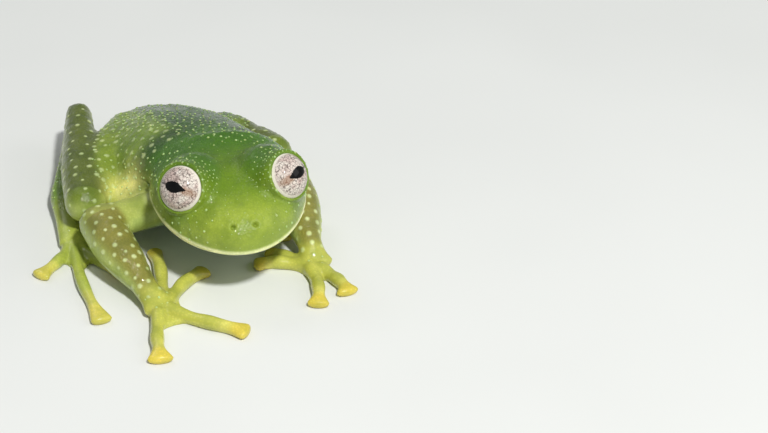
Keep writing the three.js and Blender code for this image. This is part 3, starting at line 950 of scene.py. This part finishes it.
def add_tint(mesh, colour):
    add_attribute(mesh, "tint", "FLOAT_COLOR", np.column_stack([colour, np.ones(len(colour))]))


def linked(name, mesh, material):
    piece = placed(name, mesh)
    mesh.materials.append(material)
    mesh.polygons.foreach_set("use_smooth", np.ones(len(mesh.polygons), dtype=bool))
    return piece


def spread_sites(points, weight, spacing):
    # Picks points at random, none nearer to another than the spacing, and fewer where the weight is low.
    order = rng.permutation(len(points))
    order = order[rng.uniform(size=len(order)) < weight[order]]
    taken = {}
    chosen = []
    for i in order:
        x, y, z = (points[i] // spacing).astype(int).tolist()
        others = [o for dx, dy, dz in CELL_STEPS for o in taken.get((x + dx, y + dy, z + dz), ())]
        if all(np.sum((other - points[i]) ** 2) >= spacing ** 2 for other in others):
            taken.setdefault((x, y, z), []).append(points[i])
            chosen.append(i)
    return chosen


def limb_share(points, names, radius):
    # How far each point belongs to the limbs that run through the named joints, from 0 to 1.
    share = np.zeros(len(points))
    for pose in POSE.values():
        for start, end in zip(names, names[1:]):
            far, _ = segment_distance(points, pose[start], pose[end])
            share = np.maximum(share, 1 - smooth(radius, radius + 0.3, far))
    return share


def spot_share(points, sites, low, high):
    # Round, soft-edged spots on the limbs, each with its own radius.
    tree = KDTree(len(sites))
    for k, i in enumerate(sites):
        tree.insert(points[i], k)
    tree.balance()
    radii = rng.uniform(low, high, len(sites))
    share = np.zeros(len(points))
    for i, point in enumerate(points):
        _, k, far = tree.find(point)
        if far < radii[k]:
            share[i] = 1 - far / radii[k]
    return smooth(0.0, 0.55, share)


def limb_spots(points, normals):
    upper = smooth(-0.1, 0.35, normals[:, 2]) * (points[:, 2] > 1.0)
    legs = limb_share(points, ("knee", "heel"), 1.5)
    arms = limb_share(points, ("elbow", "wrist"), 1.45)
    sides = pale_side(points) * (1 - legs) * (points[:, 2] > 2.5)
    sites = spread_sites(points, 0.3 * upper * legs, 0.85)
    sites += spread_sites(points, 0.3 * upper * arms, 0.6)
    spots = spot_share(points, sites, 0.13, 0.23)
    sites = spread_sites(points, 0.3 * upper * sides, 0.75)
    return np.maximum(spots, 0.75 * spot_share(points, sites, 0.15, 0.25))


def dome(centre, normal, radius, height):
    side = np.cross(normal, (0.3, 0.5, 0.8))
    side /= np.linalg.norm(side)
    other = np.cross(normal, side)
    turns = around(GRANULE_SIDES)
    rings = []
    for angle in np.radians(GRANULE_RING_ANGLES):
        ring = np.outer(np.cos(turns), side) + np.outer(np.sin(turns), other)
        rings.append(centre + ring * radius * math.cos(angle) + normal * height * math.sin(angle))
    return loft(rings)


def granule_zones(points, normals, grain):
    # Where each kind of granule may sit: close-set on the back and brows, wider apart on the head.
    h = to_head(points)
    up = normals[:, 2]
    bare = np.ones(len(points))
    brows = np.zeros(len(points))
    for side in (-1, 1):
        far = np.linalg.norm(points - eye_centre(side), axis=1)
        bare *= smooth(EYE_RADIUS + 0.1, EYE_RADIUS + 0.22, far)
        brow_share = (1 - smooth(1.85, 2.25, far)) * smooth(0.0, 0.5, h[:, 2] - EYE_CENTRE[2])
        brows = np.maximum(brows, brow_share)
    skin = grain * bare * (points[:, 2] > 0.9) * smooth(-0.1, 0.3, up)
    shanks = limb_share(points, ("knee", "heel"), 1.45)
    arms = limb_share(points, ("shoulder", "elbow", "wrist"), 1.45)
    off_limbs = np.clip(1 - (shanks + arms), 0, 1)
    back = skin * smooth(-0.5, 1.5, h[:, 1]) * off_limbs
    patches = smooth(0.0, 1.0, np.sin(points[:, 0] * 0.9 + points[:, 1] * 0.6) + 0.6)
    front = skin * smooth(0.5, -1.5, h[:, 1]) * off_limbs
    pale = pale_side(points)
    return {
        "dorsal": back * (1 - 0.85 * pale) * patches,
        "scattered": back * (1 - 0.9 * pale),
        "fine": front,
        "cheek": front * smooth(1.8, 3.4, np.abs(h[:, 0])),
        "brow": skin * brows,
    }


def make_tubercles(points, normals, colour, grain):
    # Small pale domes, each tinted from the skin it sits on.
    zones = granule_zones(points, normals, grain)
    pieces = []
    tints = []
    for kind, (weight, spacing, low, high, pale) in GRANULES.items():
        for i in spread_sites(points, weight * zones[kind], spacing):
            radius = rng.uniform(low, high)
            shape = dome(points[i], normals[i], radius, radius * GRANULE_RISE)
            share = pale * rng.uniform(0.6, 1.0)
            tint = colour[i] + (COLOUR["granule_back"] - colour[i]) * share
            pieces.append(shape)
            tints.append(np.tile(tint, (len(shape[0]), 1)))
    all_points, faces = joined(pieces)
    mesh = mesh_of("tubercles", to_row(all_points), faces)
    add_tint(mesh, np.concatenate(tints))
    piece = linked("skin_tubercles", mesh, tubercle_material())
    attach(piece, "root")


def make_skin():
    # One skin over the whole animal, kept just above the floor before and after its relief is added.
    mesh = remeshed("skin", *skin_solid())
    points = soften(mesh)
    points[:, 2] = np.maximum(points[:, 2], FLOOR_CLEARANCE)
    put_coordinates(mesh, points)
    normals = normals_of(mesh)
    colour, grain = paint(points, normals)
    spots = limb_spots(points, normals)
    colour = mixed(colour, COLOUR["granule_limb"], spots * SPOT_PALENESS)
    lift = head_relief(points, normals) + body_relief(points) + pebbles(points, grain) + SPOT_HEIGHT * spots
    points = points + normals * lift[:, None]
    points[:, 2] = np.maximum(points[:, 2], FLOOR_CLEARANCE / 2)
    put_coordinates(mesh, points)
    add_tint(mesh, colour)
    add_attribute(mesh, "grain", "FLOAT", grain)
    make_tubercles(points, normals_of(mesh), colour, grain)
    put_coordinates(mesh, to_row(points))
    piece = linked("frog_skin", mesh, skin_material())
    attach(piece, "root")
    nodes = [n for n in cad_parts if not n.startswith("eye_")]
    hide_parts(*nodes)


# Eyes

def make_eye(side, name, node):
    # Each point keeps how far it lies towards the snout, upward and outward, as shares of the radius.
    level, above, axis = eye_frame(side)
    centre = eye_centre(side)
    turns = around(EYE_COLUMNS)
    rings = []
    for polar in np.radians(np.linspace(EYE_FIRST_ROW, 180 - EYE_FIRST_ROW, EYE_ROWS)):
        ring = np.outer(np.cos(turns), level) + np.outer(np.sin(turns), above)
        rings.append(centre + EYE_RADIUS * (ring * math.sin(polar) + axis * math.cos(polar)))
    points, faces = loft(rings)
    offset = (points - centre) / EYE_RADIUS
    mesh = mesh_of(name, to_row(points), faces)
    add_attribute(mesh, "ahead", "FLOAT", -side * (offset @ level))
    add_attribute(mesh, "above", "FLOAT", offset @ above)
    add_attribute(mesh, "facing", "FLOAT", offset @ axis)
    piece = linked(name, mesh, eye_material())
    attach(piece, "root")
    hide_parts(node)


# Materials

class Nodes:
    # Short calls that build one material's shader nodes.

    def __init__(self, name):
        self.material = bpy.data.materials.new(name)
        self.material.use_nodes = True
        self.tree = self.material.node_tree
        self.tree.nodes.clear()
        self.shader = self.tree.nodes.new("ShaderNodeBsdfPrincipled")
        output = self.tree.nodes.new("ShaderNodeOutputMaterial")
        self.link(self.shader.outputs[0], output.inputs[0])

    def link(self, a, b):
        self.tree.links.new(a, b)

    def attribute(self, name):
        node = self.tree.nodes.new("ShaderNodeAttribute")
        node.attribute_name = name
        return node

    def position(self):
        return self.tree.nodes.new("ShaderNodeTexCoord").outputs["Object"]

    def noise(self, scale, detail, result="Fac"):
        node = self.tree.nodes.new("ShaderNodeTexNoise")
        node.inputs["Scale"].default_value = scale
        node.inputs["Detail"].default_value = detail
        self.link(self.position(), node.inputs["Vector"])
        return node.outputs[result]

    def voronoi(self, scale, feature="F1", warp=0.0):
        # Cells, bent by noise where a warp is given.
        node = self.tree.nodes.new("ShaderNodeTexVoronoi")
        node.feature = feature
        node.inputs["Scale"].default_value = scale
        place = self.position()
        if warp:
            bent = self.tree.nodes.new("ShaderNodeVectorMath")
            bent.operation = "MULTIPLY_ADD"
            bent.inputs[1].default_value = (warp, warp, warp)
            self.link(self.noise(scale * 0.8, 2, "Color"), bent.inputs[0])
            self.link(place, bent.inputs[2])
            place = bent.outputs[0]
        self.link(place, node.inputs["Vector"])
        return node.outputs["Distance"]

    def math(self, operation, a, b=None):
        node = self.tree.nodes.new("ShaderNodeMath")
        node.operation = operation
        for socket, value in zip(node.inputs, (a, b)):
            if value is None:
                continue
            if isinstance(value, (int, float)):
                socket.default_value = value
            else:
                self.link(value, socket)
        return node.outputs[0]

    def ramp(self, value, low, high, start=0.0, end=1.0):
        node = self.tree.nodes.new("ShaderNodeMapRange")
        node.interpolation_type = "SMOOTHSTEP"
        for key, number in (("From Min", low), ("From Max", high), ("To Min", start), ("To Max", end)):
            node.inputs[key].default_value = number
        self.link(value, node.inputs["Value"])
        return node.outputs[0]

    def mix(self, share, a, b, blend="MIX"):
        node = self.tree.nodes.new("ShaderNodeMix")
        node.data_type = "RGBA"
        node.blend_type = blend
        for socket, value in ((node.inputs[0], share), (node.inputs[6], a), (node.inputs[7], b)):
            if isinstance(value, (int, float)):
                socket.default_value = value
            elif isinstance(value, (tuple, list, np.ndarray)):
                socket.default_value = (*value, 1)
            else:
                self.link(value, socket)
        return node.outputs[2]

    def oval(self, u, v, middle_u, middle_v, half_u, half_v):
        # Below 1 inside an upright oval, and more outside it.
        x = self.math("DIVIDE", self.math("SUBTRACT", u, middle_u), half_u)
        y = self.math("DIVIDE", self.math("SUBTRACT", v, middle_v), half_v)
        return self.math("ADD", self.math("MULTIPLY", x, x), self.math("MULTIPLY", y, y))

    def bump(self, height, distance, strength, target="Normal"):
        node = self.tree.nodes.new("ShaderNodeBump")
        node.inputs["Distance"].default_value = distance
        node.inputs["Strength"].default_value = strength
        self.link(height, node.inputs["Height"])
        self.link(node.outputs[0], self.shader.inputs[target])

    def set(self, **values):
        for key, value in values.items():
            self.shader.inputs[key.replace("_", " ")].default_value = value


def skin_material():
    # Mottled, finely speckled skin under a thin wet coat that breaks up the highlights.
    n = Nodes("wet_skin")
    tint = n.attribute("tint").outputs["Color"]
    mottle = n.ramp(n.noise(700, 3), 0.35, 0.68)
    fine = n.ramp(n.voronoi(6000), 0.15, 0.6)
    darker = n.mix(1.0, tint, (0.62, 0.7, 0.5), "MULTIPLY")
    lighter = n.mix(1.0, tint, (1.18, 1.15, 1.1), "MULTIPLY")
    patched = n.mix(mottle, lighter, n.mix(0.45, tint, darker))
    speckled = n.mix(n.math("MULTIPLY", fine, 0.3), patched, darker)
    n.link(speckled, n.shader.inputs["Base Color"])
    n.link(n.ramp(n.noise(2500, 2), 0.3, 0.7, 0.3, 0.55), n.shader.inputs["Roughness"])
    n.set(Subsurface_Weight=0.25, Subsurface_Scale=0.0005)
    n.set(IOR=1.33, Coat_Weight=0.6, Coat_Roughness=0.05)
    n.shader.inputs["Subsurface Radius"].default_value = (0.9, 1.0, 0.35)
    grain = n.attribute("grain").outputs["Fac"]
    cobble = n.math("MULTIPLY", n.voronoi(7000), grain)
    wrinkle = n.math("MULTIPLY", n.noise(9000, 3), 0.5)
    n.bump(n.math("SUBTRACT", wrinkle, cobble), 0.000025, 0.7)
    n.bump(n.math("SUBTRACT", n.noise(3800, 3), cobble), 0.00005, 0.8, "Coat Normal")
    return n.material


def tubercle_material():
    n = Nodes("pale_tubercle")
    tint = n.attribute("tint").outputs["Color"]
    shade = n.ramp(n.noise(1500, 1), 0.3, 0.7)
    darker = n.mix(1.0, tint, (0.86, 0.88, 0.82), "MULTIPLY")
    n.link(n.mix(shade, darker, tint), n.shader.inputs["Base Color"])
    n.set(Roughness=0.3, Subsurface_Weight=0.25, Subsurface_Scale=0.0002)
    n.set(Coat_Weight=0.3, Coat_Roughness=0.12)
    return n.material


def eye_material():
    # A cream iris under a net of fine dark lines, round a level pupil that narrows towards the snout.
    n = Nodes("eye")
    ahead = n.attribute("ahead").outputs["Fac"]
    above = n.attribute("above").outputs["Fac"]
    facing = n.attribute("facing").outputs["Fac"]
    wobble = n.noise(4200, 3)
    net = n.math("ADD", n.voronoi(4800, "DISTANCE_TO_EDGE", 0.00035), n.math("MULTIPLY", wobble, 0.2))
    lines = n.ramp(net, 0.1, 0.21, 1.0, 0.0)
    base = n.mix(n.ramp(n.noise(1600, 2), 0.35, 0.65), COLOUR["iris"], COLOUR["iris_shade"])
    iris = n.mix(n.math("MULTIPLY", lines, 0.85), base, COLOUR["iris_net"])
    rim = n.ramp(facing, math.cos(math.radians(58)), math.cos(math.radians(52)))
    ring = n.mix(rim, COLOUR["iris_edge"], iris)
    outer = n.oval(ahead, above, 0.5, -0.04, 0.34, 0.2)
    warm = n.mix(n.ramp(outer, 0.1, 1.3, 0.6, 0.0), ring, COLOUR["iris_outer"])
    streak = n.oval(ahead, above, -0.5, 0.02, 0.3, 0.05)
    lined = n.mix(n.ramp(streak, 0.3, 1.2, 0.8, 0.0), warm, COLOUR["iris_streak"])
    height = n.ramp(ahead, -0.1, 0.5, 0.23, 0.1)
    u = n.math("POWER", n.math("ABSOLUTE", n.math("DIVIDE", n.math("ADD", ahead, 0.02), 0.45)), 2.2)
    v = n.math("POWER", n.math("ABSOLUTE", n.math("DIVIDE", above, height)), 1.7)
    ragged = n.math("MULTIPLY", n.math("SUBTRACT", wobble, 0.5), 0.6)
    slit = n.math("ADD", n.math("ADD", u, v), ragged)
    pupil = n.math("MULTIPLY", n.ramp(slit, 0.9, 1.05, 1.0, 0.0), n.ramp(facing, -0.1, 0.1))
    n.link(n.mix(pupil, lined, COLOUR["pupil"]), n.shader.inputs["Base Color"])
    n.set(Roughness=0.5, IOR=1.2, Coat_Weight=0.35, Coat_Roughness=0.02)
    n.bump(lines, 0.00001, 0.5)
    return n.material


def plain_material(name, colour, roughness):
    n = Nodes(name)
    n.link(n.mix(n.ramp(n.noise(40, 2), 0.3, 0.7), colour * 0.97, colour), n.shader.inputs["Base Color"])
    n.set(Roughness=roughness)
    return n.material


# Camera, lights and floor

def make_camera():
    # The camera looks from the photo's side, and swings until the neck lies on its pixel.
    back = Vector(direction(CAMERA_AZIMUTH, CAMERA_ELEVATION))
    right = Vector((0, 0, 1)).cross(back).normalized()
    up = back.cross(right)
    aimed = Matrix((right, up, back)).transposed()
    offset = Vector(((NECK_PIXEL[0] - PHOTO_WIDTH / 2) / FOCAL_PIXELS,
                     (PHOTO_HEIGHT / 2 - NECK_PIXEL[1]) / FOCAL_PIXELS, -1)).normalized()
    swing = offset.rotation_difference(Vector((0, 0, -1))).to_matrix()
    data = bpy.data.cameras.new("camera")
    data.sensor_width = SENSOR_WIDTH
    data.lens = FOCAL_PIXELS / PHOTO_WIDTH * SENSOR_WIDTH
    data.clip_start = 0.01
    camera = placed("camera", data)
    place = Vector(to_row(NECK)) + back * CAMERA_DISTANCE / 1000
    camera.matrix_world = Matrix.Translation(place) @ (aimed @ swing).to_4x4()
    bpy.context.scene.camera = camera


def add_light(name, place, energy, size):
    data = bpy.data.lights.new(name, "AREA")
    data.energy = energy
    data.size = size
    light = placed(name, data)
    light.location = place
    light.rotation_euler = (Vector(place) - Vector(LIGHT_TARGET)).to_track_quat("Z", "Y").to_euler()


def make_stage():
    size = FLOOR_HALF_SIZE
    corners = [(-size, -size, 0), (size, -size, 0), (size, size, 0), (-size, size, 0)]
    mesh = mesh_of("floor", corners, [(0, 1, 2, 3)])
    mesh.materials.append(plain_material("floor", FLOOR_COLOUR, 0.7))
    floor = placed("floor", mesh)
    world = bpy.data.worlds.new("world")
    world.use_nodes = True
    sky = world.node_tree.nodes["Background"]
    sky.inputs["Color"].default_value = SKY_COLOUR
    sky.inputs["Strength"].default_value = SKY_STRENGTH
    bpy.context.scene.world = world
    bpy.context.scene.view_settings.view_transform = "Standard"
    for name, (place, energy, size) in LIGHTS.items():
        add_light(name, place, energy, size)


make_camera()
make_stage()
make_skin()
make_eye(-1, "eyeball_right", "eye_right")
make_eye(1, "eyeball_left", "eye_left")
